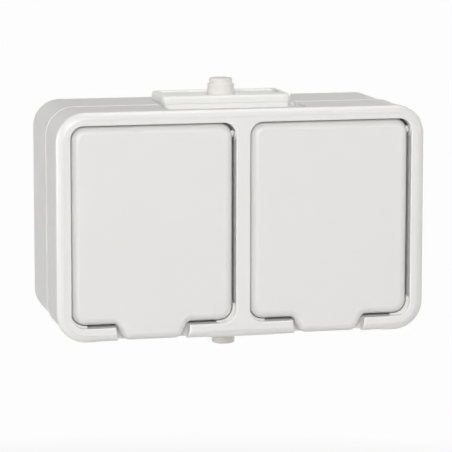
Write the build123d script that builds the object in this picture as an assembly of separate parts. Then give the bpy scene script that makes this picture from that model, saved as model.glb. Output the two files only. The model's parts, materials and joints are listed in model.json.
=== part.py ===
from build123d import *
import os

# Weatherproof double socket for a wall, in millimetres.
# X runs to the right, Z up, and Y into the wall: the wall face is y = 0.
# A depth is a distance out from the wall, so it lies at y = -depth.

# Outline of the closed product
frame_width = 142.0
frame_height = 86.6
overall_depth = 60.0
frame_corner = 11.2
lip_thickness = 4.0
lip_step = 0.35

# Rounded rim of the frame and the lids: an arc whose crest is cut flat, with a soft crease
rim_arc = 3.8
rim_trim = 0.13
crease_round = 0.8

# Skirt of the front cover and the seam with the back box
skirt_wall = 1.9
skirt_step = 0.65
skirt_flare = 0.25
skirt_edge_round = 0.4
seam_depth = 32.6
seam_gap = 0.5
tongue_length = 5.4
tongue_gap = 0.25
cover_wall = 3.4

# Back box
box_wall = 2.6
back_wall = 2.4
seal_thickness = 2.0

# Lid recesses in the front cover and the bars around them
side_bar = 5.35
top_bar = 4.95
bottom_bar = 5.45
mullion_width = 5.3
recess_depth = 9.0
recess_corner = 5.0
floor_thickness = 2.0
recess_edge_round = 0.4
guide_gap = 0.2
guide_left_reach = 6.2
guide_right_reach = 7.0
guide_depth = 2.4

# Lids
lid_inset = 0.2
lid_left_gap = 0.3
lid_right_gap = 1.05
lid_top_gap = 0.35
lid_bottom_gap = 0.95
lid_corner = 5.2
lid_wall = 1.8
lid_rim = 7.0
tab_top_width = 27.4
tab_bottom_width = 22.0
tab_drop = 6.2
tab_thickness = 4.3
tab_corner = 4.0
tab_blend = 2.0
notch_gap = 0.5
notch_clearance = 0.9
notch_taper = 0.8
notch_mouth_round = 0.8

# Hinge of each lid
hinge_drop = 4.15
pin_radius = 0.8
pin_clearance = 0.05
pin_engagement = 1.8
pin_end_gap = 0.2
pin_slide = 1.8
boss_radius = 2.6
boss_root = 0.5
boss_height = 0.35
ear_radius = 1.35
ear_gap = 0.25

# Plug wells
socket_drop = 1.5
well_radius = 19.75
well_length = 17.5
well_wall = 2.2
well_floor = 2.3
collar_height = 3.0
flange_radius = 26.0
flange_thickness = 1.6
insert_gap = 0.3
pin_pitch = 19.0
pin_hole_radius = 2.8
guide_width = 4.8
guide_height = 2.5

# Slotted screws of the plug wells and the contact carrier
screw_shank_radius = 1.5
screw_gap = 0.1
screw_head_radius = 2.9
screw_head_height = 1.7
screw_slot_width = 0.8
screw_slot_depth = 0.9
screw_tip_gap = 2.0

# Rubber rings inside the lids
rib_radius = 24.4
rib_wall = 1.8
rib_height = 2.8
ring_width = 4.2
ring_thickness = 2.3
ring_room = 0.3

# Earth stirrups
stirrup_width = 4.4
stirrup_thickness = 0.8
stirrup_reach = 18.3
stirrup_bulge = 1.9
stirrup_length = 15.0
stirrup_bend_lift = 2.0
stirrup_slot_gap = 0.5

# Contact sleeves and bars
sleeve_radius = 2.45
sleeve_wall = 0.7
sleeve_length = 13.0
sleeve_slit = 0.8
sleeve_tail_width = 3.0
bar_thickness = 1.0
bar_width = 5.0
bar_offset = 6.5
sleeve_gap = 0.6
sleeve_sink = 1.6
earth_bar_offset = 12.0

# Contact carrier
carrier_plate = 3.2
carrier_height = 32.0
carrier_corner = 5.0
carrier_gap = 1.0
tower_radius = 20.5
post_radius = 3.6
plate_front = 17.0

# Terminals
terminal_size = 7.0
terminal_length = 8.0
terminal_x = 7.5
terminal_floor = 1.0
terminal_chamfer = 0.5
terminal_screw_radius = 1.6
terminal_head_radius = 2.6
terminal_head_height = 1.6
wire_hole_radius = 1.5

# Wall fixing slots
wall_slot_x = 108.0
wall_slot_z = 52.0
wall_slot_radius = 2.25
wall_slot_length = 9.0
wall_boss_wall = 2.6
wall_boss_height = 2.6

# Cable entry plate on top
gland_width = 50.6
gland_length = 24.5
gland_rear = 9.5
gland_corner = 3.0
gland_body_height = 0.5
gland_cap_height = 3.1
gland_edge_round = 1.1
gland_seam_chamfer = 0.25
gland_rim = 2.4
gland_sink = 0.7
gland_lip = 1.7
gland_apron_drop = 3.7
gland_slot_gap = 0.2
gland_inner_flange = 1.4
pocket_gap = 1.6
pocket_sink = 2.75
pocket_wall = 1.6
pocket_end_wall = 4.5

# Rubber nipples
nipple_radius = 5.15
nipple_foot_radius = 5.35
nipple_foot_height = 2.0
nipple_tip_radius = 4.45
nipple_tip_height = 1.8
nipple_tip_round = 0.5
nipple_height = 5.6
nipple_flange_radius = 7.4
nipple_flange = 1.0
nipple_bore = 3.5
nipple_skin = 1.0
nipple_gap = 0.2
low_nipple_depth = 26.2
low_nipple_height = 9.5
low_nipple_tip_height = 2.4
low_nipple_collar = 1.2
low_nipple_round = 0.9
nipple_step_slope = 0.5

# How far a cut runs on past the face that it opens, and what counts as the same place
overcut = 1.0
same_place = 0.01

# Places that follow from the sizes above
skirt_width = frame_width - 2 * lip_step
skirt_height = frame_height - 2 * lip_step
skirt_corner = frame_corner - lip_step
box_width = skirt_width - 2 * skirt_step
box_height = skirt_height - 2 * skirt_step
box_corner = skirt_corner - skirt_step
box_inner_width = box_width - 2 * box_wall
box_inner_height = box_height - 2 * box_wall
lip_rear = overall_depth - lip_thickness
shoulder_depth = seam_depth - seam_gap
tongue_inset = skirt_wall + tongue_gap - skirt_step
tongue_front = shoulder_depth + tongue_length
step_depth = tongue_front + seal_thickness
recess_width = (frame_width - mullion_width) / 2 - side_bar
recess_height = frame_height - top_bar - bottom_bar
recess_lift = (bottom_bar - top_bar) / 2
floor_front = overall_depth - recess_depth
floor_rear = floor_front - floor_thickness
side_x = (mullion_width + recess_width) / 2
recess_top = recess_height / 2 + recess_lift
recess_bottom = recess_lift - recess_height / 2
lid_front = overall_depth - lid_inset
lid_rear = lid_front - lid_rim
lid_width = recess_width - lid_left_gap - lid_right_gap
lid_shift = (lid_left_gap - lid_right_gap) / 2
lid_top = recess_top - lid_top_gap
lid_bottom = recess_bottom + lid_bottom_gap
lid_height = lid_top - lid_bottom
lid_middle = (lid_top + lid_bottom) / 2
hinge_depth = lid_front + rim_trim - rim_arc
hinge_z = lid_top - hinge_drop
socket_z = recess_lift - socket_drop
collar_front = floor_front + collar_height
well_bottom = collar_front - well_length
insert_rear = well_bottom - well_floor
tower_front = insert_rear
strap_rear = tower_front - stirrup_thickness
carrier_half_length = box_inner_width / 2 - carrier_gap
carrier_screw_x = (side_x + tower_radius + box_inner_width / 2) / 2
plate_rear = plate_front - carrier_plate
bar_front = plate_rear - bar_thickness
bar_rear = bar_front - bar_thickness
box_top = box_height / 2
gland_front = gland_rear + gland_length
gland_depth = (gland_front + gland_rear) / 2
gland_seam = box_top + gland_body_height
gland_top = gland_seam + gland_cap_height
pocket_half = gland_width / 2 + pocket_gap
pocket_floor = skirt_height / 2 - pocket_sink
pocket_front = lip_rear - pocket_end_wall
nipple_base = gland_top - gland_sink
sides = {"left": -1, "right": 1}


def at_depth(depth):
    # A drawing plane facing the room, with X across and Z up
    return Plane.XZ.offset(depth)


def slab(outline, start, end):
    # A flat outline carried forward from one depth to another
    return extrude(at_depth(start) * outline, end - start)


def disc(x, z, radius, start, end):
    return slab(Pos(x, z) * Circle(radius), start, end)


def rod_along_x(x0, x1, depth, z, radius):
    low, high = sorted((x0, x1))
    return extrude(Plane.YZ.offset(low) * Pos(-depth, z) * Circle(radius), high - low)


def rod_up(x, depth, z0, z1, radius):
    return extrude(Plane.XY.offset(z0) * Pos(x, -depth) * Circle(radius), z1 - z0)


def block(x0, x1, depth0, depth1, z0, z1):
    # The two ends of each side may come in either order
    centre = ((x0 + x1) / 2, -(depth0 + depth1) / 2, (z0 + z1) / 2)
    return Pos(*centre) * Box(abs(x1 - x0), abs(depth1 - depth0), abs(z1 - z0))


def rounded(width, height, corner):
    return RectangleRounded(width, height, corner)


def front_edges(part):
    return part.faces().sort_by(Axis.Y)[0].edges()


def rimmed_plate(outline, start, end):
    # A plate with the rounded rim: the arc rises past the front, is cut flat and loses its crease
    plate = slab(outline, start, end + rim_trim)
    plate = fillet(front_edges(plate), rim_arc) - slab(outline, end, end + rim_trim)
    return fillet(front_edges(plate), crease_round)


def recess_outline():
    return Pos(0, recess_lift) * rounded(recess_width, recess_height, recess_corner)


def lid_x(side):
    # Both lids sit a little to the left in their recesses
    return side * side_x + lid_shift


def lid_plate(growth):
    width = lid_width + 2 * growth
    height = lid_height + 2 * growth
    return Pos(0, lid_middle) * rounded(width, height, lid_corner + growth)


def wall_slot_places():
    return [(sx * wall_slot_x / 2, sz * wall_slot_z / 2) for sx in (-1, 1) for sz in (-1, 1)]


def box_hollow():
    return rounded(box_inner_width, box_inner_height, box_corner - box_wall)


def make_back_box():
    # Open tray with a stepped front tongue, screw domes and posts
    box = slab(rounded(box_width, box_height, box_corner), 0, shoulder_depth)
    tongue_width = box_width - 2 * tongue_inset
    tongue_height = box_height - 2 * tongue_inset
    tongue = rounded(tongue_width, tongue_height, box_corner - tongue_inset)
    box += slab(tongue, shoulder_depth, tongue_front)
    box -= slab(box_hollow(), back_wall, tongue_front)
    for x, z in wall_slot_places():
        dome = SlotOverall(wall_slot_length + 2 * wall_boss_wall, 2 * (wall_slot_radius + wall_boss_wall))
        hole = SlotOverall(wall_slot_length, 2 * wall_slot_radius)
        box += slab(Pos(x, z) * dome, back_wall, back_wall + wall_boss_height)
        box -= slab(Pos(x, z) * hole, 0, back_wall + wall_boss_height)
    for side in sides.values():
        x = side * carrier_screw_x
        box += disc(x, socket_z, post_radius, back_wall, plate_rear)
        box -= disc(x, socket_z, screw_shank_radius + screw_gap, back_wall, plate_rear)
    return box - gland_opening() - low_nipple_hole()


def gland_opening():
    # The top wall is open to the front for the sliding entry plate
    low = box_inner_height / 2 - overcut
    high = box_top + overcut
    half = gland_width / 2 - gland_lip
    slot = block(-half, half, gland_rear + gland_lip, shoulder_depth, low, high)
    tongue_half = pocket_half + pocket_wall + tongue_gap
    return slot + block(-tongue_half, tongue_half, shoulder_depth, tongue_front, low, high)


def low_nipple_hole():
    low = -box_height / 2 - overcut
    high = overcut - box_inner_height / 2
    return rod_up(0, low_nipple_depth, low, high, nipple_radius + nipple_gap)


def make_box_seal():
    # Flat ring on the tip of the tongue, open where the entry plate sits
    outer = rounded(box_width - 2 * tongue_inset, box_height - 2 * tongue_inset, box_corner - tongue_inset)
    ring = slab(outer, tongue_front, step_depth) - slab(box_hollow(), tongue_front, step_depth)
    half = pocket_half + pocket_wall + tongue_gap
    return ring - block(-half, half, tongue_front, step_depth, 0, box_top)


def make_front_cover():
    # Moulded frame with a flared skirt behind and two lid recesses in front
    lip = rimmed_plate(rounded(frame_width, frame_height, frame_corner), lip_rear, overall_depth)
    rear = at_depth(seam_depth) * skirt_outline(skirt_flare)
    skirt = loft([rear, at_depth(lip_rear) * skirt_outline(0)])
    cover = lip + fillet(skirt.faces().sort_by(Axis.Y)[-1].edges(), skirt_edge_round)
    for inset, end in ((skirt_wall, step_depth), (cover_wall, floor_rear)):
        cover -= slab(skirt_outline(inset), seam_depth, end)
    cover = cut_gland_pocket(cover)
    for side in sides.values():
        cover = cut_lid_recess(cover, side)
    return cover


def skirt_outline(inset):
    return rounded(skirt_width - 2 * inset, skirt_height - 2 * inset, skirt_corner - inset)


def cut_gland_pocket(cover):
    # Sunk shelf in the top of the skirt, in front of the entry plate
    wall_half = pocket_half + pocket_wall
    start = gland_front + gland_slot_gap
    top = skirt_height / 2
    low = pocket_floor - pocket_wall
    cover += block(-wall_half, wall_half, start, floor_rear, low, top - skirt_wall / 2)
    rear = seam_depth - overcut
    return cover - block(-pocket_half, pocket_half, rear, pocket_front, pocket_floor, top + overcut)


def cut_lid_recess(cover, side):
    recess = Pos(side * side_x, 0) * recess_outline()
    cover -= slab(recess, floor_front, overall_depth)
    cover = fillet(recess_rim(cover, side), recess_edge_round)
    cover -= disc(side * side_x, socket_z, well_radius + well_wall + insert_gap, floor_rear, floor_front)
    cover += guide_ribs(recess, side)
    cover -= tab_notch(side)
    return add_hinge_seats(cover, side)


def recess_rim(cover, side):
    # Front edges of one recess
    def on_rim(edge):
        centre = edge.center()
        near = abs(centre.X - side * side_x) < recess_width / 2 + same_place
        return near and abs(centre.Z - recess_lift) < recess_height / 2 + same_place

    return front_edges(cover).filter_by(on_rim)


def guide_ribs(recess, side):
    # They fill the gap around the lid's lower corners, with a drain slot between them
    front = overall_depth - guide_depth
    ribs = slab(recess, floor_front, front)
    ribs -= slab(Pos(lid_x(side), 0) * lid_plate(guide_gap), floor_front, front)
    left = side * side_x - recess_width / 2
    right = side * side_x + recess_width / 2
    high = recess_bottom + recess_corner
    keep = block(left, left + guide_left_reach, floor_front, front, recess_bottom, high)
    high = recess_bottom + guide_right_reach
    keep += block(right, right - guide_right_reach, floor_front, front, recess_bottom, high)
    return ribs & keep


def tab_notch(side):
    # Gap in the lower bar for the thumb tab, narrower below like the tab
    half = tab_top_width / 2 + notch_gap
    low = Plane.XY.offset(-frame_height / 2) * notch_plan(half - notch_taper)
    high = Plane.XY.offset(recess_bottom + recess_edge_round) * notch_plan(half)
    return Pos(lid_x(side), 0, 0) * loft([low, high])


def notch_plan(half):
    # Seen from above: rounded inner corners, and a mouth that rolls out on to the front face
    rear = lid_front - tab_thickness - notch_clearance
    front = overall_depth + overcut
    mouth = half + tab_blend
    points = [(-half, -rear), (-half, -overall_depth), (-mouth, -overall_depth), (-mouth, -front)]
    points += [(-x, y) for x, y in reversed(points)]
    plan = make_face(Polyline(*points, close=True))
    plan = fillet(plan.vertices().filter_by(lambda v: abs(v.Y + rear) < same_place), tab_blend)
    lips = plan.vertices().filter_by(lambda v: abs(v.Y + overall_depth) < same_place)
    return fillet(lips.filter_by(lambda v: abs(v.X) < half + same_place), notch_mouth_round)


def add_hinge_seats(cover, side):
    # A flat boss in the wide gap on the right, and a blind bore in each wall
    for hand in (-1, 1):
        wall = side * side_x + hand * recess_width / 2
        if hand > 0:
            cover += rod_along_x(wall + boss_root, wall - boss_height, hinge_depth, hinge_z, boss_radius)
        slide = pin_slide if hand == side else 0
        end = wall + hand * (pin_engagement + pin_end_gap + slide)
        mouth = wall - hand * overcut
        cover -= rod_along_x(end, mouth, hinge_depth, hinge_z, pin_radius + pin_clearance)
    return cover


def lid_outline():
    # Rounded plate with a tapered thumb tab below, centred on its own axis
    outline = lid_plate(0) + tab_outline()
    reach = tab_top_width / 2 + same_place
    low = outline.vertices().filter_by(lambda v: abs(v.Y - lid_bottom) < same_place)
    return fillet(low.filter_by(lambda v: abs(v.X) < reach), tab_blend)


def tab_outline():
    top = tab_top_width / 2
    low = tab_bottom_width / 2
    tip = lid_bottom - tab_drop
    root = lid_bottom + rim_arc
    points = [(-top, root), (-top, lid_bottom), (-low, tip), (low, tip), (top, lid_bottom), (top, root)]
    shape = make_face(Polyline(*points, close=True))
    tips = shape.vertices().sort_by(Axis.Y)[:2]
    return fillet(tips, tab_corner)


def make_lid(side):
    # Shell with a rolled top edge that turns about the hinge pin
    x = lid_x(side)
    lid = rimmed_plate(Pos(x, 0) * lid_outline(), lid_front - tab_thickness, lid_front)
    lid += slab(Pos(x, 0) * lid_plate(0), lid_rear, lid_front - tab_thickness)
    barrel_low = hinge_z - hinge_drop
    inner_low = lid_bottom + lid_wall
    inner = rounded(lid_width - 2 * lid_wall, barrel_low - inner_low, lid_corner - lid_wall)
    inner = Pos(x, (barrel_low + inner_low) / 2) * inner
    lid -= slab(inner, lid_rear, lid_front - lid_wall)
    rear = lid_rear - overcut
    behind = block(x - lid_width, x + lid_width, rear, hinge_depth, barrel_low, lid_top + overcut)
    behind -= rod_along_x(x - lid_width, x + lid_width, hinge_depth, hinge_z, hinge_drop)
    lid -= behind
    ear_end = x + lid_width / 2 + lid_right_gap - boss_height - ear_gap
    lid += rod_along_x(x, ear_end, hinge_depth, hinge_z, ear_radius)
    lid -= rod_along_x(x - lid_width, x + lid_width, hinge_depth, hinge_z, pin_radius + pin_clearance)
    rib_front = lid_front - lid_wall
    well_x = side * side_x
    # The ring keeps its room in the rim of a narrower lid too
    lid -= disc(well_x, socket_z, rib_radius + ring_width / 2 + ring_room, lid_rear, rib_front)
    lid += disc(well_x, socket_z, rib_radius + rib_wall / 2, rib_front - rib_height, rib_front)
    return lid - disc(well_x, socket_z, rib_radius - rib_wall / 2, rib_front - rib_height, rib_front)


def make_hinge_pin(side):
    x = side * side_x
    half = recess_width / 2 + pin_engagement
    pin = rod_along_x(x - half, x + half, hinge_depth, hinge_z, pin_radius)
    return chamfer(pin.edges().filter_by(GeomType.CIRCLE), pin_radius / 5)


def make_lid_seal(side):
    # Ring pressed on the lid's rib, soft lip towards the flange
    x = side * side_x
    front = lid_front - lid_wall - rib_height
    ring = disc(x, socket_z, rib_radius + ring_width / 2, front - ring_thickness, front)
    ring -= disc(x, socket_z, rib_radius - ring_width / 2, front - ring_thickness, front)
    lip = ring.faces().sort_by(Axis.Y)[-1].edges()
    return fillet(lip, ring_thickness / 3)


def make_socket_insert(side):
    # Plug well with flange, collar, guide ribs, pin holes and stirrup slots
    x = side * side_x
    outer = well_radius + well_wall
    insert = disc(x, socket_z, outer, insert_rear, collar_front)
    insert += disc(x, socket_z, flange_radius, floor_front, floor_front + flange_thickness)
    insert = fillet(front_edges(insert), well_wall / 3)
    well = disc(x, socket_z, well_radius, well_bottom, collar_front)
    for hand in (-1, 1):
        tip = x + hand * (well_radius - guide_height)
        root = x + hand * (well_radius + overcut)
        front = collar_front - flange_thickness
        half = guide_width / 2
        well -= block(tip, root, well_bottom, front, socket_z - half, socket_z + half)
    insert -= well
    for hand in (-1, 1):
        insert -= disc(x + hand * pin_pitch / 2, socket_z, pin_hole_radius, insert_rear, well_bottom)
        insert -= stirrup_slot(x, hand)
    insert -= disc(x, socket_z, screw_shank_radius + screw_gap, insert_rear, well_bottom)
    head = screw_head_radius + screw_gap
    return insert - disc(x, socket_z, head, well_bottom - screw_head_height, well_bottom)


def stirrup_slot(x, hand):
    half = stirrup_width / 2 + stirrup_slot_gap
    inner = stirrup_reach - stirrup_bulge - stirrup_slot_gap
    outer = stirrup_reach + stirrup_thickness + stirrup_slot_gap
    near = socket_z + hand * inner
    far = socket_z + hand * outer
    return block(x - half, x + half, insert_rear, well_bottom, near, far)


def slotted_screw(x, z, head_front, head_radius, head_height, shank_radius, tip):
    seat = head_front - head_height
    screw = disc(x, z, head_radius, seat, head_front)
    screw = fillet(front_edges(screw), head_height / 4)
    screw += disc(x, z, shank_radius, tip, seat)
    floor = head_front - screw_slot_depth
    half = screw_slot_width / 2
    return screw - block(x - head_radius, x + head_radius, floor, head_front, z - half, z + half)


def make_centre_screw(side):
    front = well_bottom - screw_gap
    height = screw_head_height - screw_gap
    tip = plate_front + screw_tip_gap
    return slotted_screw(
        side * side_x, socket_z, front, screw_head_radius, height, screw_shank_radius, tip
    )


def make_contact_carrier():
    # One plate with two round towers that hold the contact sleeves
    plate = Pos(0, socket_z) * rounded(2 * carrier_half_length, carrier_height, carrier_corner)
    carrier = slab(plate, plate_rear, plate_front)
    hole = screw_shank_radius + screw_gap
    for side in sides.values():
        x = side * side_x
        carrier += disc(x, socket_z, tower_radius, plate_front, tower_front)
        for hand in (-1, 1):
            radius = sleeve_radius + sleeve_wall + sleeve_gap
            carrier -= disc(x + hand * pin_pitch / 2, socket_z, radius, plate_rear, tower_front)
        half = stirrup_width / 2 + stirrup_slot_gap
        reach = tower_radius + overcut
        carrier -= block(x - half, x + half, strap_rear, tower_front, socket_z - reach, socket_z + reach)
        carrier -= disc(x, socket_z, hole, plate_front, tower_front)
        carrier -= disc(side * carrier_screw_x, socket_z, hole, plate_rear, plate_front)
    return carrier - earth_bar_groove() - terminal_windows()


def earth_bar_groove():
    z = socket_z + earth_bar_offset
    half = bar_width / 2 + sleeve_gap
    reach = side_x + bar_width
    return block(-reach, reach, strap_rear - bar_thickness, tower_front, z - half, z + half)


def terminal_windows():
    # Openings in the plate between the towers, through which wires reach the bars
    half = terminal_size / 2 + sleeve_gap
    cuts = None
    for hand in (-1, 1):
        x = hand * terminal_x
        z = socket_z - hand * bar_offset
        cut = block(x - half, x + half, plate_rear, plate_front, z - half, z + half)
        cuts = cut if cuts is None else cuts + cut
    return cuts


def make_carrier_screws():
    front = plate_front + screw_head_height
    tip = back_wall + screw_tip_gap
    screws = []
    for side in sides.values():
        x = side * carrier_screw_x
        screws.append(slotted_screw(
            x, socket_z, front, screw_head_radius, screw_head_height, screw_shank_radius, tip
        ))
    return screws


def sleeve_place(side, pole):
    # The live pole is on the left of each well and the neutral on the right
    return side * side_x + pole * pin_pitch / 2


def make_contact(side, pole):
    # Slit spring sleeve with a tail and a foot that lies on its bar
    x = sleeve_place(side, pole)
    front = tower_front - sleeve_sink
    rear = front - sleeve_length
    outer = sleeve_radius + sleeve_wall
    sleeve = disc(x, socket_z, outer, rear, front) - disc(x, socket_z, sleeve_radius, rear, front)
    half = sleeve_slit / 2
    sleeve -= block(x - outer, x + outer, rear + sleeve_wall, front, socket_z - half, socket_z + half)
    half = sleeve_tail_width / 2
    near = socket_z - pole * sleeve_radius
    far = socket_z - pole * outer
    tail = block(x - half, x + half, bar_front, rear + sleeve_wall, near, far)
    end = socket_z - pole * (bar_offset + bar_width / 2)
    return sleeve + tail + block(x - half, x + half, bar_front, plate_rear, near, end)


def make_pole_bar(pole):
    # Flat bar that joins the two sleeves of one pole
    z = socket_z - pole * bar_offset
    start = sleeve_place(-1, pole) - bar_width / 2
    end = sleeve_place(1, pole) + bar_width / 2
    bar = block(start, end, bar_rear, bar_front, z - bar_width / 2, z + bar_width / 2)
    return fillet(bar.edges().filter_by(Axis.Y), bar_width / 4)


def make_earth_bar():
    z = socket_z + earth_bar_offset
    half = side_x + bar_width / 2
    rear = strap_rear - bar_thickness
    bar = block(-half, half, rear, strap_rear, z - bar_width / 2, z + bar_width / 2)
    return fillet(bar.edges().filter_by(Axis.Y), bar_width / 4)


def make_earth_clip(side):
    # One bent strip: a strap over the tower and a sprung arm at each end
    x = side * side_x
    half = stirrup_width / 2
    reach = stirrup_reach + stirrup_thickness
    strip = block(-half, half, strap_rear, tower_front, -reach, reach)
    for hand in (-1, 1):
        strip += extrude(Plane.YZ.offset(-half) * clip_arm(hand), stirrup_width)
    strip -= disc(0, 0, screw_shank_radius + screw_gap, strap_rear, tower_front)
    return Pos(x, 0, socket_z) * strip


def clip_arm(hand):
    # Side view of one arm: it bends towards the well's axis, then out again
    tip = well_bottom + stirrup_length
    bend = (well_bottom + tip) / 2 + stirrup_bend_lift
    inner = stirrup_reach - stirrup_bulge
    line = [(strap_rear, stirrup_reach), (well_bottom, stirrup_reach), (bend, inner), (tip, stirrup_reach)]
    near = [(-depth, hand * z) for depth, z in line]
    far = [(-depth, hand * (z + stirrup_thickness)) for depth, z in reversed(line)]
    face = make_face(Polyline(*near, *far, close=True))
    bends = face.vertices().filter_by(lambda v: abs(v.X + bend) < same_place)
    return fillet(bends, stirrup_thickness * 1.5)


def make_terminal(x, z, start):
    # Square clamp with a screw hole from the front and a wire hole across
    half = terminal_size / 2
    body = block(x - half, x + half, start, start + terminal_length, z - half, z + half)
    body = chamfer(body.edges().filter_by(Axis.Y), terminal_chamfer)
    hole = terminal_screw_radius + screw_gap
    body -= disc(x, z, hole, start + terminal_floor, start + terminal_length)
    return body - rod_up(x, start + terminal_length / 2, z - half, z + half, wire_hole_radius)


def terminal_places():
    return {
        "live": (-terminal_x, socket_z + bar_offset, bar_front),
        "neutral": (terminal_x, socket_z - bar_offset, bar_front),
        "earth": (0, socket_z + earth_bar_offset, strap_rear),
    }


def make_terminal_screws():
    screws = []
    for x, z, start in terminal_places().values():
        front = start + terminal_length + terminal_head_height
        tip = start + terminal_length / 2 + wire_hole_radius + screw_gap
        screws.append(slotted_screw(
            x, z, front, terminal_head_radius, terminal_head_height, terminal_screw_radius, tip
        ))
    return screws


def gland_outline(inset):
    return Pos(0, -gland_depth) * rounded(
        gland_width - 2 * inset, gland_length - 2 * inset, gland_corner - inset
    )


def plate_up(outline, z0, z1):
    return extrude(Plane.XY.offset(z0) * outline, z1 - z0)


def make_gland_body():
    # Slides into the open top wall on two grooves, with an apron in front
    inner_top = box_inner_height / 2
    body = plate_up(gland_outline(0), box_top, gland_seam)
    half = gland_width / 2 - gland_lip - gland_slot_gap
    neck_rear = gland_rear + gland_lip + gland_slot_gap
    neck = block(-half, half, neck_rear, shoulder_depth, inner_top, box_top)
    low = inner_top - gland_inner_flange
    flange = block(-gland_width / 2, gland_width / 2, gland_rear, shoulder_depth, low, inner_top)
    apron = plate_up(gland_outline(0), box_top - gland_apron_drop, box_top)
    apron &= block(-gland_width, gland_width, shoulder_depth, gland_front, 0, box_top)
    body += neck + flange + apron
    seat = nipple_flange_radius + nipple_gap
    body -= rod_up(0, gland_depth, gland_seam - nipple_flange, gland_seam, seat)
    return body - rod_up(0, gland_depth, low, gland_seam, nipple_radius - nipple_gap)


def make_gland_cap():
    # Cover plate with a raised rim and a sunk field around the nipple
    cap = plate_up(gland_outline(0), gland_seam, gland_top)
    cap = fillet(cap.faces().sort_by(Axis.Z)[-1].edges(), gland_edge_round)
    cap = chamfer(cap.faces().sort_by(Axis.Z)[0].edges(), gland_seam_chamfer)
    cap -= plate_up(gland_outline(gland_rim), nipple_base, gland_top)
    return cap - rod_up(0, gland_depth, gland_seam, gland_top, nipple_foot_radius + nipple_gap)


def nipple_profile(height, tip_height, foot):
    # Half section of a stepped closed nipple, from its flange up to its tip
    step = height - tip_height
    return [
        (0, height), (nipple_tip_radius, height), (nipple_tip_radius, step),
        (nipple_radius, step - nipple_step_slope), (nipple_radius, foot), (nipple_foot_radius, foot)
    ]


def turn_nipple(profile, tip_round):
    face = Plane.XZ * make_face(Polyline(*profile, close=True))
    nipple = revolve(face, Axis.Z)
    tip = nipple.edges().filter_by(GeomType.CIRCLE).group_by(Axis.Z)[-1]
    return fillet(tip, tip_round)


def make_top_nipple():
    seat = gland_seam - nipple_flange
    height = nipple_base + nipple_height + gland_sink - seat
    foot = nipple_base - seat + nipple_foot_height
    neck = gland_seam - seat
    outline = nipple_profile(height, nipple_tip_height, foot)
    outline += [(nipple_foot_radius, neck), (nipple_flange_radius, neck), (nipple_flange_radius, 0)]
    outline += [(nipple_bore, 0), (nipple_bore, height - nipple_skin), (0, height - nipple_skin)]
    return Pos(0, -gland_depth, seat) * turn_nipple(outline, nipple_tip_round)


def make_bottom_nipple():
    # Blanking nipple with a groove for the wall of the box
    groove = box_wall
    flange_top = groove + nipple_flange
    collar = nipple_radius + low_nipple_collar
    ceiling = low_nipple_height - nipple_skin
    outline = nipple_profile(low_nipple_height, low_nipple_tip_height, nipple_flange)[:-1]
    outline += [(collar, nipple_flange), (collar, 0), (nipple_radius, 0), (nipple_radius, -groove)]
    outline += [(nipple_flange_radius, -groove), (nipple_flange_radius, -flange_top)]
    outline += [(nipple_bore, -flange_top), (nipple_bore, ceiling), (0, ceiling)]
    nipple = turn_nipple(outline, low_nipple_round)
    return Pos(0, -low_nipple_depth, -box_height / 2) * Rot(180, 0, 0) * nipple


def all_parts():
    parts = {
        "back_box": make_back_box(),
        "box_seal": make_box_seal(),
        "front_cover": make_front_cover(),
        "contact_carrier": make_contact_carrier(),
        "carrier_screws": make_carrier_screws(),
        "live_bar": make_pole_bar(-1),
        "neutral_bar": make_pole_bar(1),
        "earth_bar": make_earth_bar(),
        "terminal_screws": make_terminal_screws(),
        "gland_body": make_gland_body(),
        "gland_cap": make_gland_cap(),
        "top_nipple": make_top_nipple(),
        "bottom_nipple": make_bottom_nipple(),
    }
    for name, side in sides.items():
        parts["lid_" + name] = make_lid(side)
        parts["hinge_pin_" + name] = make_hinge_pin(side)
        parts["lid_seal_" + name] = make_lid_seal(side)
        parts["socket_insert_" + name] = make_socket_insert(side)
        parts["centre_screw_" + name] = make_centre_screw(side)
        parts["earth_clip_" + name] = make_earth_clip(side)
        for pole_name, pole in (("live", -1), ("neutral", 1)):
            parts[pole_name + "_contact_" + name] = make_contact(side, pole)
    for name, (x, z, start) in terminal_places().items():
        parts[name + "_terminal"] = make_terminal(x, z, start)
    return parts


os.makedirs("parts", exist_ok=True)
for node, shape in all_parts().items():
    solids = shape if isinstance(shape, list) else [shape]
    group = solids[0] if len(solids) == 1 else Compound(children=solids)
    export_step(group, "parts/" + node + ".step")
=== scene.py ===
import json
import math

import bmesh
import bpy
from mathutils import Matrix, Vector


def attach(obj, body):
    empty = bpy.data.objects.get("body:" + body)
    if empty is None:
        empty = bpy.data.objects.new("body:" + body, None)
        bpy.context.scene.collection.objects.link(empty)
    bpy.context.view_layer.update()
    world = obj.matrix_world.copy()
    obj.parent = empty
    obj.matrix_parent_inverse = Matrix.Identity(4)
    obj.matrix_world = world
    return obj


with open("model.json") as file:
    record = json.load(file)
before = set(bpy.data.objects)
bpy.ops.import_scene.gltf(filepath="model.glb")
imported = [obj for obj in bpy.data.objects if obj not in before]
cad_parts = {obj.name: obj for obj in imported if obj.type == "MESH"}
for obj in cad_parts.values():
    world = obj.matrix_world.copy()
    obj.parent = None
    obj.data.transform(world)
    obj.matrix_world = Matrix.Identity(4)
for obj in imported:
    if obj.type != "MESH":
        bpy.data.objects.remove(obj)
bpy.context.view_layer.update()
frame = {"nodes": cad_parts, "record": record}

# Weatherproof double socket: finishes, two thin edges added to the cover, studio and camera.
# Metres, unless a comment says mm; +Z up, +Y into the wall.

MM = 0.001
WHITE = (1, 1, 1, 1)

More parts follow.
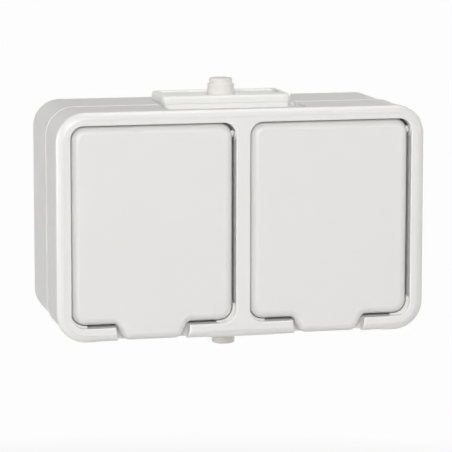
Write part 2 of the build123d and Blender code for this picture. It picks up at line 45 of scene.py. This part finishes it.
# Camera, fitted to the edges of the photograph; the focal distance is in pixels of its width
CAMERA_PLACE = (-0.230982, -1.020136, 0.151527)
CAMERA_YAW = math.radians(13.1439)
CAMERA_PITCH = math.radians(8.7721)
CAMERA_ROLL = math.radians(0.0641)
CAMERA_RANGE = (0.05, 50.0)
PHOTO_WIDTH = 452
FOCAL_PIXELS = 2657.45
SENSOR_WIDTH = 36.0
FOCAL_LENGTH = FOCAL_PIXELS * SENSOR_WIDTH / PHOTO_WIDTH

# Lip along the rear edge of the cover's skirt, in mm: its outline, its depth from the wall,
# the bead's radius and half the width of the pocket, where there is no lip
LIP_HALF_WIDTH = 70.3
LIP_HALF_HEIGHT = 42.6
LIP_CORNER = 10.5
LIP_CORNER_STEPS = 16
LIP_DEPTH = 33.0
LIP_RADIUS = 0.38
LIP_SIDES = 12
LIP_POCKET_HALF = 27.4

# Crisp outer edge of the rounded rim, in mm: the rim's outline and the front's depth
RIM_HALF_WIDTH = 71.0
RIM_HALF_HEIGHT = 43.3
RIM_CORNER = 11.2
RIM_CORNER_STEPS = 24
RIM_FRONT = 60.0
# Its section: the arc, how far in it reaches, and points as (in from the outline, back)
RIM_REACH = 2.815
RIM_ARC_START = math.radians(36)
RIM_ARC_END = math.radians(74)
RIM_ARC_TRIM = math.radians(2)
RIM_ARC_STEPS = 12
RIM_SUNK = 0.02
RIM_SIDE_POINTS = ((0.4, 3.45), (RIM_SUNK, 3.25))
RIM_CREASE_POINTS = ((RIM_SUNK, 0.3), (RIM_SUNK + 0.03, 0.12))
RIM_HIDDEN_POINTS = ((3.1, 0.35), (2.1, 1.1), (1.2, 2.3), (0.7, 3.1))
RIM_SHARP_ANGLE = math.radians(32)
# Its runs: where they start and end beside the tab notches, and how they sink away there
RIM_RUN_LEFT = -52.5
RIM_RUN_RIGHT = 51.8
RIM_MIDDLE_RUN = (-17.0, 16.3)
RIM_FADE = 4.0
RIM_FADE_SINK = 0.6

# Studio: each lamp's place, size and power, the point they all face, and the white paper
LAMPS = {
    "front_softbox": {"place": (-0.55, -1.75, 0.75), "size": (1.3, 1.3), "power": 24.5},
    "top_softbox": {"place": (0.25, -0.3, 1.5), "size": (0.7, 0.7), "power": 6.8},
    "left_panel": {"place": (-1.6, -0.35, -0.05), "size": (0.4, 0.9), "power": 9.5},
    "right_panel": {"place": (1.4, -1.0, 0.2), "size": (0.8, 0.8), "power": 4.0},
    "back_panel": {"place": (1.2, 1.5, -0.05), "size": (1.2, 0.8), "power": 16.0},
}
LAMP_AIM = (0, -0.03, 0)
ROOM_LIGHT = 0.06
BACKGROUND_WHITE = 0.982
FLOOR_HEIGHT = -0.26
FLOOR_REACH = 3.0
FLOOR_COLOUR = (250, 250, 250)
FLOOR_FADE = (0.3, 0.75)

# Finishes. Colours are screen colours, 0 to 255: the plain one and the shade that clouds it
PLASTIC_IOR = 1.5
# Plastics: the two colours, roughness and, where the front is polished, that of the sides
PLASTICS = {
    "box_plastic": ((228, 227, 226), (222, 221, 220), 0.55),
    "cover_plastic": ((229, 228, 226), (224, 223, 220), 0.26, 0.6),
    "lid_plastic": ((226, 225, 223), (221, 220, 218), 0.32),
    "insert_plastic": ((228, 227, 224), (223, 222, 219), 0.26),
    "gland_plastic": ((244, 244, 241), (238, 238, 235), 0.36),
    "carrier_plastic": ((190, 189, 184), (176, 175, 170), 0.6),
}
RUBBERS = {
    "seal_rubber": ((120, 120, 119), (100, 100, 99)),
    "top_nipple_rubber": ((238, 235, 231), (228, 224, 219)),
    "bottom_nipple_rubber": ((224, 219, 210), (214, 208, 197)),
}
# Metals: the two colours, roughness and how close the drawn lines lie along x, y and z
METALS = {
    "steel": ((184, 184, 187), (150, 150, 154), 0.38, (900.0, 60.0, 900.0)),
    "spring_steel": ((214, 212, 206), (178, 176, 170), 0.28, (1400.0, 60.0, 700.0)),
    "brass": ((226, 196, 124), (190, 158, 86), 0.3, (60.0, 1400.0, 1400.0)),
}


# Node building helpers


def new_group(name, inputs, outputs):
    """An empty shader group. Inputs are (name, kind, default), outputs (name, kind)."""
    group = bpy.data.node_groups.new(name, "ShaderNodeTree")
    for label, kind, default in inputs:
        socket = group.interface.new_socket(
            label, in_out="INPUT", socket_type="NodeSocket" + kind)
        socket.default_value = default
    for label, kind in outputs:
        group.interface.new_socket(label, in_out="OUTPUT", socket_type="NodeSocket" + kind)
    return group


def add(tree, kind, values=None, **settings):
    """Adds a shader node, sets its properties and the values of its inputs."""
    node = tree.nodes.new("ShaderNode" + kind)
    for key, value in settings.items():
        setattr(node, key, value)
    for key, value in (values or {}).items():
        node.inputs[key].default_value = value
    return node


def ends(tree):
    """The sockets that a group takes in and puts out, as seen from inside it."""
    return tree.nodes.new("NodeGroupInput").outputs, tree.nodes.new("NodeGroupOutput").inputs


def join(tree, source, target):
    tree.links.new(source, target)


def feed(tree, value, socket):
    """Gives an input either a number or another node's output."""
    if isinstance(value, (int, float)):
        socket.default_value = value
    else:
        join(tree, value, socket)


def maths(tree, operation, first, second):
    """A Math node on two sockets or numbers; returns its result."""
    node = add(tree, "Math", operation=operation)
    feed(tree, first, node.inputs[0])
    feed(tree, second, node.inputs[1])
    return node.outputs[0]


def noise(tree, place, scale, detail):
    node = add(tree, "TexNoise", {"Detail": detail})
    join(tree, place, node.inputs["Vector"])
    feed(tree, scale, node.inputs["Scale"])
    return node.outputs["Fac"]


def object_place(tree):
    """Where a point lies in its object's own coordinates."""
    return add(tree, "TexCoord").outputs["Object"]


def mix_shaders(tree, share, first, second):
    """Mixes two shaders; share is how much of the second shows."""
    mix = add(tree, "MixShader")
    join(tree, share, mix.inputs["Fac"])
    join(tree, first, mix.inputs[1])
    join(tree, second, mix.inputs[2])
    return mix.outputs["Shader"]


def new_object(name, data):
    thing = bpy.data.objects.new(name, data)
    bpy.context.scene.collection.objects.link(thing)
    return thing


# Effects that several finishes share


def make_textured_sides():
    """Roughness of a cover whose front is polished in the mould and whose sides are textured."""
    group = new_group(
        "textured_sides",
        [("Polished", "Float", 0.28), ("Textured", "Float", 0.55),
         ("Polished From", "Float", -0.0578), ("Textured From", "Float", -0.0574)],
        [("Roughness", "Float")],
    )
    inputs, outputs = ends(group)
    split = add(group, "SeparateXYZ")
    join(group, object_place(group), split.inputs["Vector"])
    blend = add(group, "MapRange")
    join(group, split.outputs["Y"], blend.inputs["Value"])
    for source, target in (("Polished From", "From Min"), ("Textured From", "From Max"),
                           ("Polished", "To Min"), ("Textured", "To Max")):
        join(group, inputs[source], blend.inputs[target])
    join(group, blend.outputs["Result"], outputs["Roughness"])
    return group


def make_moulded_surface():
    """Fine orange peel and slight waviness of a moulded face, as a height."""
    group = new_group(
        "moulded_surface",
        [("Grain Scale", "Float", 2600.0), ("Wave Scale", "Float", 60.0),
         ("Wave Share", "Float", 0.5)],
        [("Height", "Float")],
    )
    inputs, outputs = ends(group)
    place = object_place(group)
    grain = noise(group, place, inputs["Grain Scale"], 3.0)
    wave = noise(group, place, inputs["Wave Scale"], 1.0)
    waves = maths(group, "MULTIPLY", wave, inputs["Wave Share"])
    join(group, maths(group, "ADD", grain, waves), outputs["Height"])
    return group


def make_flow_tint():
    """Faint cloudiness of the colour, as moulding leaves in a pale plastic."""
    group = new_group(
        "flow_tint",
        [("Color", "Color", (0.8, 0.8, 0.8, 1)), ("Shade", "Color", (0.7, 0.7, 0.7, 1)),
         ("Scale", "Float", 28.0), ("Amount", "Float", 0.3)],
        [("Color", "Color")],
    )
    inputs, outputs = ends(group)
    cloud = noise(group, object_place(group), inputs["Scale"], 3.0)
    mix = add(group, "Mix", data_type="RGBA")
    join(group, maths(group, "MULTIPLY", cloud, inputs["Amount"]), mix.inputs["Factor"])
    join(group, inputs["Color"], mix.inputs["A"])
    join(group, inputs["Shade"], mix.inputs["B"])
    join(group, mix.outputs["Result"], outputs["Color"])
    return group


def make_uneven_sheen():
    """Roughness that drifts a little over the face."""
    group = new_group(
        "uneven_sheen",
        [("Roughness", "Float", 0.4), ("Spread", "Float", 0.08), ("Scale", "Float", 90.0)],
        [("Roughness", "Float")],
    )
    inputs, outputs = ends(group)
    cloud = noise(group, object_place(group), inputs["Scale"], 4.0)
    drift = maths(group, "SUBTRACT", cloud, 0.5)
    spread = maths(group, "MULTIPLY", drift, inputs["Spread"])
    join(group, maths(group, "ADD", spread, inputs["Roughness"]), outputs["Roughness"])
    return group


def make_drawn_metal():
    """Fine lines along a rolled or drawn metal piece, as a height and a mask."""
    group = new_group(
        "drawn_metal",
        [("Stretch", "Vector", (60.0, 1400.0, 1400.0)), ("Contrast", "Float", 1.0)],
        [("Height", "Float"), ("Mask", "Float")],
    )
    inputs, outputs = ends(group)
    stretch = add(group, "VectorMath", operation="MULTIPLY")
    join(group, object_place(group), stretch.inputs[0])
    join(group, inputs["Stretch"], stretch.inputs[1])
    lines = noise(group, stretch.outputs[0], 1.0, 4.0)
    join(group, lines, outputs["Height"])
    join(group, maths(group, "MULTIPLY", lines, inputs["Contrast"]), outputs["Mask"])
    return group


EFFECTS = {
    "sides": make_textured_sides(),
    "surface": make_moulded_surface(),
    "tint": make_flow_tint(),
    "sheen": make_uneven_sheen(),
    "drawn": make_drawn_metal(),
}


def place_effect(tree, name, values):
    node = tree.nodes.new("ShaderNodeGroup")
    node.node_tree = EFFECTS[name]
    for key, value in values.items():
        node.inputs[key].default_value = value
    return node


# Materials


def srgb(red, green, blue):
    """A screen colour, 0 to 255, as Blender's linear colour."""
    def linear(value):
        value /= 255
        return value / 12.92 if value <= 0.04045 else ((value + 0.055) / 1.055) ** 2.4
    return (linear(red), linear(green), linear(blue), 1)


def start_finish(name, settings):
    """A material with one Principled shader whose plain values are set on its sockets."""
    material = bpy.data.materials.new(name)
    material.use_nodes = True
    shader = material.node_tree.nodes["Principled BSDF"]
    for key, value in settings.items():
        shader.inputs[key].default_value = value
    return material, material.node_tree, shader


def add_relief(tree, shader, height, strength, distance):
    bump = add(tree, "Bump", {"Strength": strength, "Distance": distance})
    join(tree, height, bump.inputs["Height"])
    join(tree, bump.outputs["Normal"], shader.inputs["Normal"])


def moulded_plastic(name, color, shade, roughness, textured=None):
    """Pale plastic that light enters a little; with textured, the sides get that roughness."""
    material, tree, shader = start_finish(name, {
        "IOR": PLASTIC_IOR, "Subsurface Weight": 0.3, "Subsurface Scale": 1.0 * MM,
        "Subsurface Radius": (1.0, 0.95, 0.9),
    })
    tint = place_effect(tree, "tint", {"Color": srgb(*color), "Shade": srgb(*shade)})
    join(tree, tint.outputs["Color"], shader.inputs["Base Color"])
    sheen = place_effect(tree, "sheen", {"Roughness": roughness})
    join(tree, sheen.outputs["Roughness"], shader.inputs["Roughness"])
    surface = place_effect(tree, "surface", {"Grain Scale": 1500.0})
    add_relief(tree, shader, surface.outputs["Height"], 0.04, 0.02 * MM)
    if textured is not None:
        sides = place_effect(tree, "sides", {"Polished": roughness, "Textured": textured})
        join(tree, sides.outputs["Roughness"], sheen.inputs["Roughness"])
    return material


def soft_rubber(name, color, shade):
    material, tree, shader = start_finish(name, {
        "IOR": PLASTIC_IOR, "Sheen Weight": 0.08, "Sheen Roughness": 0.5,
    })
    tint = place_effect(tree, "tint", {
        "Color": srgb(*color), "Shade": srgb(*shade), "Scale": 160.0, "Amount": 0.6,
    })
    join(tree, tint.outputs["Color"], shader.inputs["Base Color"])
    sheen = place_effect(tree, "sheen", {"Roughness": 0.62, "Spread": 0.15})
    join(tree, sheen.outputs["Roughness"], shader.inputs["Roughness"])
    surface = place_effect(tree, "surface", {"Grain Scale": 1800.0, "Wave Scale": 200.0})
    add_relief(tree, shader, surface.outputs["Height"], 0.3, 0.05 * MM)
    return material


def drawn_metal(name, color, shade, roughness, stretch):
    material, tree, shader = start_finish(name, {"Metallic": 1.0})
    lines = place_effect(tree, "drawn", {"Stretch": stretch})
    mix = add(tree, "Mix", {"A": srgb(*color), "B": srgb(*shade)}, data_type="RGBA")
    join(tree, lines.outputs["Mask"], mix.inputs["Factor"])
    join(tree, mix.outputs["Result"], shader.inputs["Base Color"])
    sheen = place_effect(tree, "sheen", {"Roughness": roughness, "Spread": 0.2, "Scale": 300.0})
    join(tree, sheen.outputs["Roughness"], shader.inputs["Roughness"])
    add_relief(tree, shader, lines.outputs["Height"], 0.15, 0.02 * MM)
    return material


FINISHES = {
    name: make(name, *values)
    for make, table in ((moulded_plastic, PLASTICS), (soft_rubber, RUBBERS),
                        (drawn_metal, METALS))
    for name, values in table.items()
}


def dress_nodes():
    """Gives every node of the model the finish that its record names."""
    slots = {part["node"]: part["material_slot"] for part in frame["record"]["subparts"]}
    for name, node in frame["nodes"].items():
        material = FINISHES[slots[name]]
        if not node.data.materials:
            node.data.materials.append(material)
        for slot in node.material_slots:
            slot.material = material


# Thin edges added to the cover


def corner_points(half_width, half_height, corner, steps, corners):
    """Points round an outline's corners in mm, clockwise: (x, z, outward x, outward z).

    Each corner is (side along x, side along z, angle in degrees at which its turn starts).
    """
    points = []
    for sign_x, sign_z, start in corners:
        for step in range(steps + 1):
            angle = math.radians(start - 90 * step / steps)
            out_x, out_z = math.cos(angle), math.sin(angle)
            points.append((sign_x * (half_width - corner) + corner * out_x,
                           sign_z * (half_height - corner) + corner * out_z, out_x, out_z))
    return points


def lip_path():
    """Points of the lip in mm (x, z), from the pocket's right end round to its left end."""
    corners = ((1, 1, 90), (1, -1, 0), (-1, -1, -90), (-1, 1, -180))
    around = corner_points(
        LIP_HALF_WIDTH, LIP_HALF_HEIGHT, LIP_CORNER, LIP_CORNER_STEPS, corners)
    return ([(LIP_POCKET_HALF, LIP_HALF_HEIGHT)] + [(x, z) for x, z, _, _ in around]
            + [(-LIP_POCKET_HALF, LIP_HALF_HEIGHT)])


def make_bead_tree():
    """Geometry Nodes: a round bead with closed ends along the edges of its object."""
    tree = bpy.data.node_groups.new("bead_along_path", "GeometryNodeTree")
    tree.is_modifier = True

    def new_input(label, kind):
        return tree.interface.new_socket(
            label, in_out="INPUT", socket_type="NodeSocket" + kind).identifier

    new_input("Path", "Geometry")
    inputs = {
        "radius": new_input("Bead Radius", "Float"),
        "sides": new_input("Bead Sides", "Int"),
        "finish": new_input("Finish", "Material"),
    }
    tree.interface.new_socket("Bead", in_out="OUTPUT", socket_type="NodeSocketGeometry")
    given, result = ends(tree)
    rail = tree.nodes.new("GeometryNodeMeshToCurve")
    profile = tree.nodes.new("GeometryNodeCurvePrimitiveCircle")
    sweep = tree.nodes.new("GeometryNodeCurveToMesh")
    sweep.inputs["Fill Caps"].default_value = True
    smooth = tree.nodes.new("GeometryNodeSetShadeSmooth")
    realize = tree.nodes.new("GeometryNodeRealizeInstances")
    paint = tree.nodes.new("GeometryNodeSetMaterial")
    join(tree, given["Path"], rail.inputs["Mesh"])
    join(tree, given["Bead Radius"], profile.inputs["Radius"])
    join(tree, given["Bead Sides"], profile.inputs["Resolution"])
    join(tree, rail.outputs["Curve"], sweep.inputs["Curve"])
    join(tree, profile.outputs["Curve"], sweep.inputs["Profile Curve"])
    join(tree, sweep.outputs["Mesh"], smooth.inputs["Geometry"])
    join(tree, smooth.outputs["Geometry"], realize.inputs["Geometry"])
    join(tree, realize.outputs["Geometry"], paint.inputs["Geometry"])
    join(tree, given["Finish"], paint.inputs["Material"])
    join(tree, paint.outputs["Geometry"], result["Bead"])
    return tree, inputs


def make_skirt_lip():
    """The thin lip on the rear edge of the cover's skirt, where it overlaps the box."""
    rail = bpy.data.meshes.new("skirt_lip_rail")
    points = [(x * MM, -LIP_DEPTH * MM, z * MM) for x, z in lip_path()]
    rail.from_pydata(points, [(i, i + 1) for i in range(len(points) - 1)], [])
    maker = new_object("skirt_lip_rail", rail)
    tree, inputs = make_bead_tree()
    modifier = maker.modifiers.new("bead", "NODES")
    modifier.node_group = tree
    modifier[inputs["radius"]] = LIP_RADIUS * MM
    modifier[inputs["sides"]] = LIP_SIDES
    modifier[inputs["finish"]] = FINISHES["cover_plastic"]
    bpy.context.view_layer.update()
    graph = bpy.context.evaluated_depsgraph_get()
    mesh = bpy.data.meshes.new_from_object(maker.evaluated_get(graph))
    bpy.data.objects.remove(maker)
    lip = new_object("skirt_lip", mesh)
    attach(lip, "root")


def rim_profile():
    """Closed section of the rim's edge in mm: (in from the outline, depth from the wall)."""
    radius = RIM_REACH / (math.cos(RIM_ARC_START) - math.cos(RIM_ARC_END))
    across = radius * math.cos(RIM_ARC_START)
    middle = RIM_FRONT - radius * math.sin(RIM_ARC_END)
    crease = middle + radius * math.sin(RIM_ARC_START)
    section = [(inward, RIM_FRONT - back) for inward, back in RIM_SIDE_POINTS]
    section += [(inward, crease - back) for inward, back in RIM_CREASE_POINTS]
    span = RIM_ARC_END - RIM_ARC_START - RIM_ARC_TRIM
    for step in range(RIM_ARC_STEPS + 1):
        angle = RIM_ARC_START + RIM_ARC_TRIM + span * step / RIM_ARC_STEPS
        section.append((across - radius * math.cos(angle), middle + radius * math.sin(angle)))
    return section + [(inward, RIM_FRONT - back) for inward, back in RIM_HIDDEN_POINTS]


def rim_runs():
    """Stations of the two runs: (x, z, outward x, outward z, share of full height)."""
    def below(x, share):
        return x, -RIM_HALF_HEIGHT, 0, -1, share

    corners = ((-1, -1, 270), (-1, 1, 180), (1, 1, 90), (1, -1, 0))
    turns = corner_points(
        RIM_HALF_WIDTH, RIM_HALF_HEIGHT, RIM_CORNER, RIM_CORNER_STEPS, corners)
    around = ([below(RIM_RUN_LEFT, 0.0), below(RIM_RUN_LEFT - RIM_FADE, 1.0)]
              + [(*point, 1.0) for point in turns]
              + [below(RIM_RUN_RIGHT + RIM_FADE, 1.0), below(RIM_RUN_RIGHT, 0.0)])
    start, end = RIM_MIDDLE_RUN
    middle = [below(start, 0.0), below(start + RIM_FADE, 1.0),
              below(end - RIM_FADE, 1.0), below(end, 0.0)]
    return around, middle


def make_rim_edge():
    """The crisp outer edge of the rounded rim, which sinks into the rim beside the notches."""
    section = rim_profile()
    shape = bmesh.new()
    for run in rim_runs():
        rings = []
        for x, z, out_x, out_z, share in run:
            sink = (1 - share) * RIM_FADE_SINK
            rings.append([
                shape.verts.new(((x - out_x * (inward + sink)) * MM, -(depth - sink) * MM,
                                 (z - out_z * (inward + sink)) * MM))
                for inward, depth in section
            ])
        for first, second in zip(rings, rings[1:]):
            for i in range(len(section)):
                j = (i + 1) % len(section)
                shape.faces.new((first[i], first[j], second[j], second[i]))
        shape.faces.new(rings[0])
        shape.faces.new(rings[-1])
    bmesh.ops.recalc_face_normals(shape, faces=shape.faces)
    mesh = bpy.data.meshes.new("rim_edge")
    shape.to_mesh(mesh)
    shape.free()
    mesh.shade_smooth()
    mesh.set_sharp_from_angle(angle=RIM_SHARP_ANGLE)
    mesh.materials.append(FINISHES["cover_plastic"])
    edge = new_object("rim_edge", mesh)
    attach(edge, "root")


# Studio


def seen_directly(tree):
    """1 for rays from the camera, also by reflection or through a clear piece, otherwise 0."""
    path = add(tree, "LightPath").outputs
    seen = maths(tree, "ADD", path["Is Camera Ray"], path["Is Glossy Ray"])
    return maths(tree, "MINIMUM", maths(tree, "ADD", seen, path["Is Transmission Ray"]), 1.0)


def make_floor():
    """A pale floor that keeps the shadow near the part and reads as white paper farther away.

    It isn't seen from below.
    """
    mesh = bpy.data.meshes.new("studio_floor")
    low, high = -FLOOR_REACH, FLOOR_REACH
    corners = [(x, y, FLOOR_HEIGHT)
               for x, y in ((low, low), (high, low), (high, high), (low, high))]
    mesh.from_pydata(corners, [], [(0, 1, 2, 3)])
    floor = new_object("studio_floor", mesh)
    material, tree, shader = start_finish("studio_floor", {
        "Base Color": srgb(*FLOOR_COLOUR), "Roughness": 0.9, "Specular IOR Level": 0.1,
    })
    glow = add(tree, "Emission", {"Color": WHITE, "Strength": BACKGROUND_WHITE})
    distance = add(tree, "VectorMath", operation="LENGTH")
    join(tree, object_place(tree), distance.inputs[0])
    near, far = FLOOR_FADE
    fade = add(tree, "MapRange", {"From Min": near, "From Max": far, "To Min": 0.0, "To Max": 1.0})
    join(tree, distance.outputs["Value"], fade.inputs["Value"])
    seen = seen_directly(tree)
    paper = mix_shaders(
        tree, maths(tree, "MULTIPLY", fade.outputs["Result"], seen),
        shader.outputs["BSDF"], glow.outputs["Emission"])
    backface = add(tree, "NewGeometry").outputs["Backfacing"]
    under = mix_shaders(
        tree, maths(tree, "MULTIPLY", backface, seen),
        paper, add(tree, "BsdfTransparent").outputs["BSDF"])
    join(tree, under, tree.nodes["Material Output"].inputs["Surface"])
    mesh.materials.append(material)


def make_room():
    """Even soft light from all round; the background itself reads as white paper."""
    world = bpy.data.worlds.new("studio_room")
    world.use_nodes = True
    bpy.context.scene.world = world
    tree = world.node_tree
    light = tree.nodes["Background"]
    light.inputs["Color"].default_value = WHITE
    light.inputs["Strength"].default_value = ROOM_LIGHT
    paper = add(tree, "Background", {"Color": WHITE, "Strength": BACKGROUND_WHITE})
    mixed = mix_shaders(
        tree, seen_directly(tree), light.outputs["Background"], paper.outputs["Background"])
    join(tree, mixed, tree.nodes["World Output"].inputs["Surface"])


def make_lamps():
    for name, lamp in LAMPS.items():
        light = bpy.data.lights.new(name, "AREA")
        light.shape = "RECTANGLE"
        light.size, light.size_y = lamp["size"]
        light.energy = lamp["power"]
        holder = new_object(name, light)
        holder.location = lamp["place"]
        aim = Vector(LAMP_AIM) - holder.location
        holder.rotation_euler = aim.to_track_quat("-Z", "Y").to_euler()


def make_camera():
    forward = Vector((
        math.sin(CAMERA_YAW) * math.cos(CAMERA_PITCH),
        math.cos(CAMERA_YAW) * math.cos(CAMERA_PITCH),
        -math.sin(CAMERA_PITCH),
    ))
    level = Vector((math.cos(CAMERA_YAW), -math.sin(CAMERA_YAW), 0))
    upright = level.cross(forward)
    right = math.cos(CAMERA_ROLL) * level + math.sin(CAMERA_ROLL) * upright
    up = math.cos(CAMERA_ROLL) * upright - math.sin(CAMERA_ROLL) * level
    data = bpy.data.cameras.new("photo_camera")
    data.sensor_width = SENSOR_WIDTH
    data.lens = FOCAL_LENGTH
    data.clip_start, data.clip_end = CAMERA_RANGE
    camera = new_object("photo_camera", data)
    turn = Matrix((right, up, -forward)).transposed().to_4x4()
    camera.matrix_world = Matrix.Translation(CAMERA_PLACE) @ turn
    bpy.context.scene.camera = camera


dress_nodes()
make_skirt_lip()
make_rim_edge()
make_floor()
make_room()
make_lamps()
make_camera()
bpy.context.scene.view_settings.view_transform = "Standard"
